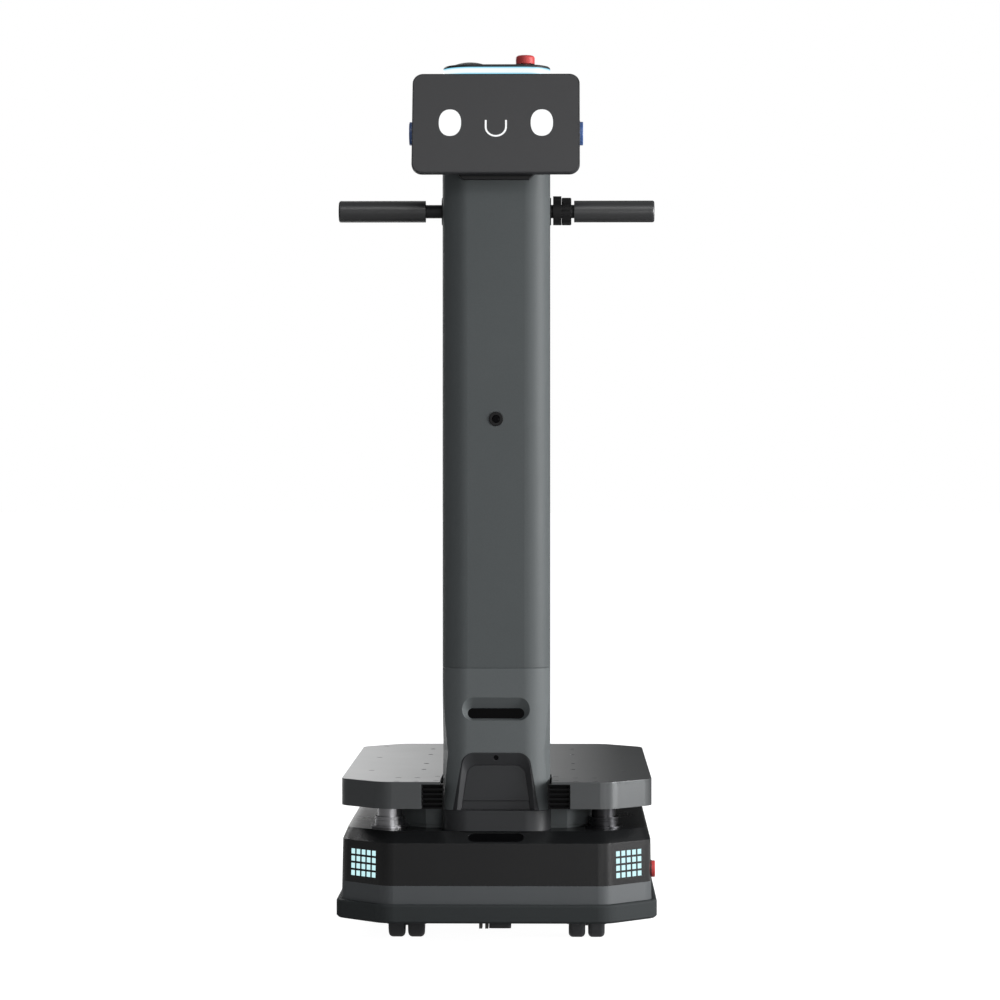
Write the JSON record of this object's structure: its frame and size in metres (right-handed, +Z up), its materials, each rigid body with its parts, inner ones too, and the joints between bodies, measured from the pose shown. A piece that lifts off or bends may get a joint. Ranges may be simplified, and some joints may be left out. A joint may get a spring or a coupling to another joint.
{
  "type": "autonomous mobile robot",
  "caption": "Low wheeled base with a lifting load deck, and a tall column that carries handles, a tilted screen, a light band and a stop button.",
  "frame": {"origin": "middle of the footprint, on the floor", "axes": "+Z up, the front with the screen faces -Y, +X to the right of someone who looks at the front"},
  "size_m": [0.503, 0.835, 1.3856],
  "materials": {
    "bumper_rubber": "soft satin",
    "shell_grey": "fine moulded texture",
    "gloss_black": "polished",
    "cover_black": "satin",
    "column_paint": "fine powder coat",
    "dark_plastic": "satin",
    "black_plastic": "matt",
    "deck_paint": "satin powder coat",
    "post_steel": "ground",
    "frame_steel": "satin",
    "spine_aluminium": "as extruded",
    "hub_aluminium": "machined",
    "drive_tyre": "matt",
    "caster_tyre": "matt",
    "caster_plastic": "satin",
    "battery_case": "satin",
    "control_case": "anodised",
    "drive_case": "machined",
    "contact_metal": "bright",
    "window_black": "polished",
    "lens_glass": "polished",
    "screen_glass": "smooth satin",
    "head_plastic": "fine moulded texture",
    "light_cyan": "lit",
    "button_blue": "satin",
    "button_red": "satin",
    "grip_rubber": "matt",
    "handle_steel": "satin",
    "screw_steel": "blackened"
  },
  "bodies": {
    "base": {"chassis_frame": "frame_steel", "caster_cups": "frame_steel", "bumper": "bumper_rubber", "lower_shell": "shell_grey", "panel_band": "gloss_black", "headlight_lenses": "light_cyan", "top_cover": "cover_black", "sensor_windows": "window_black", "side_stop_bezel": "dark_plastic", "battery_pack": "battery_case", "control_box": "control_case", "underside_sensor": "dark_plastic", "charging_contacts": "contact_metal", "pedestal": "column_paint", "lift_drives": "drive_case", "post_sleeves": "post_steel", "column_foot": "dark_plastic", "column_spine": "spine_aluminium", "column_fairing": "column_paint", "door_frame": "dark_plastic", "foot_door": "dark_plastic", "column_shell": "column_paint", "camera_bezel": "black_plastic", "camera_lenses": "lens_glass", "screen_frame": "head_plastic", "screen_glass": "screen_glass", "head_housing": "head_plastic", "head_button_bezels": "head_plastic", "screen_bracket": "black_plastic", "light_ring": "light_cyan", "crown_cap": "dark_plastic", "crown_dome": "dark_plastic", "stop_collar": "black_plastic", "handle_tube": "handle_steel", "handle_bushes": "black_plastic", "handle_grips": "grip_rubber", "handle_clamp": "black_plastic", "drive_brackets": "frame_steel"},
    "deck": {"deck_plate": "deck_paint", "deck_frame": "deck_paint", "deck_grilles": "black_plastic", "deck_screws": "screw_steel", "lift_rods": "post_steel"},
    "drive_wheel_left": {"drive_hub_left": "hub_aluminium", "drive_tyre_left": "drive_tyre"},
    "drive_wheel_right": {"drive_hub_right": "hub_aluminium", "drive_tyre_right": "drive_tyre"},
    "stop_head": {"stop_button": "button_red"},
    "side_stop": {"side_stop_button": "button_red"},
    "left_key": {"head_button_left": "button_blue"},
    "right_key": {"head_button_right": "button_blue"},
    "twist_sleeve": {"twist_ring": "black_plastic"},
    "swivel_front_left": {"caster_fork_front_left": "caster_plastic"},
    "wheels_front_left": {"caster_wheels_front_left": "caster_tyre"},
    "swivel_front_right": {"caster_fork_front_right": "caster_plastic"},
    "wheels_front_right": {"caster_wheels_front_right": "caster_tyre"},
    "swivel_rear_left": {"caster_fork_rear_left": "caster_plastic"},
    "wheels_rear_left": {"caster_wheels_rear_left": "caster_tyre"},
    "swivel_rear_right": {"caster_fork_rear_right": "caster_plastic"},
    "wheels_rear_right": {"caster_wheels_rear_right": "caster_tyre"}
  },
  "joints": [
    {"name": "deck_lift", "type": "slide", "parent": "base", "child": "deck", "axis": [0, 0, 1], "range_m": [-0.03, 0]},
    {"name": "stop_press", "type": "slide", "parent": "base", "child": "stop_head", "axis": [0, 0, -1], "range_m": [0, 0.004]},
    {"name": "side_stop_press", "type": "slide", "parent": "base", "child": "side_stop", "axis": [-1, 0, 0], "range_m": [0, 0.003]},
    {"name": "left_key_press", "type": "slide", "parent": "base", "child": "left_key", "axis": [1, 0, 0], "range_m": [0, 0.002], "stiffness_N_per_m": 800},
    {"name": "right_key_press", "type": "slide", "parent": "base", "child": "right_key", "axis": [-1, 0, 0], "range_m": [0, 0.002], "stiffness_N_per_m": 800},
    {"name": "twist", "type": "hinge", "parent": "base", "child": "twist_sleeve", "pos_m": [0.107, -0.327, 1.1397], "axis": [1, 0, 0], "range_deg": [-25, 25], "stiffness_Nm_per_rad": 0.3},
    {"name": "drive_left_spin", "type": "hinge", "parent": "base", "child": "drive_wheel_left", "pos_m": [-0.188, 0, 0.075], "axis": [1, 0, 0], "continuous": true},
    {"name": "drive_right_spin", "type": "hinge", "parent": "base", "child": "drive_wheel_right", "pos_m": [0.188, 0, 0.075], "axis": [1, 0, 0], "continuous": true},
    {"name": "swivel_front_left_turn", "type": "hinge", "parent": "base", "child": "swivel_front_left", "pos_m": [-0.1415, -0.33, 0.08], "axis": [0, 0, 1], "continuous": true},
    {"name": "wheels_front_left_roll", "type": "hinge", "parent": "swivel_front_left", "child": "wheels_front_left", "pos_m": [-0.1415, -0.308, 0.028], "axis": [1, 0, 0], "continuous": true},
    {"name": "swivel_front_right_turn", "type": "hinge", "parent": "base", "child": "swivel_front_right", "pos_m": [0.1415, -0.33, 0.08], "axis": [0, 0, 1], "continuous": true},
    {"name": "wheels_front_right_roll", "type": "hinge", "parent": "swivel_front_right", "child": "wheels_front_right", "pos_m": [0.1415, -0.308, 0.028], "axis": [1, 0, 0], "continuous": true},
    {"name": "swivel_rear_left_turn", "type": "hinge", "parent": "base", "child": "swivel_rear_left", "pos_m": [-0.1415, 0.33, 0.08], "axis": [0, 0, 1], "continuous": true},
    {"name": "wheels_rear_left_roll", "type": "hinge", "parent": "swivel_rear_left", "child": "wheels_rear_left", "pos_m": [-0.1415, 0.352, 0.028], "axis": [1, 0, 0], "continuous": true},
    {"name": "swivel_rear_right_turn", "type": "hinge", "parent": "base", "child": "swivel_rear_right", "pos_m": [0.1415, 0.33, 0.08], "axis": [0, 0, 1], "continuous": true},
    {"name": "wheels_rear_right_roll", "type": "hinge", "parent": "swivel_rear_right", "child": "wheels_rear_right", "pos_m": [0.1415, 0.352, 0.028], "axis": [1, 0, 0], "continuous": true}
  ]
}
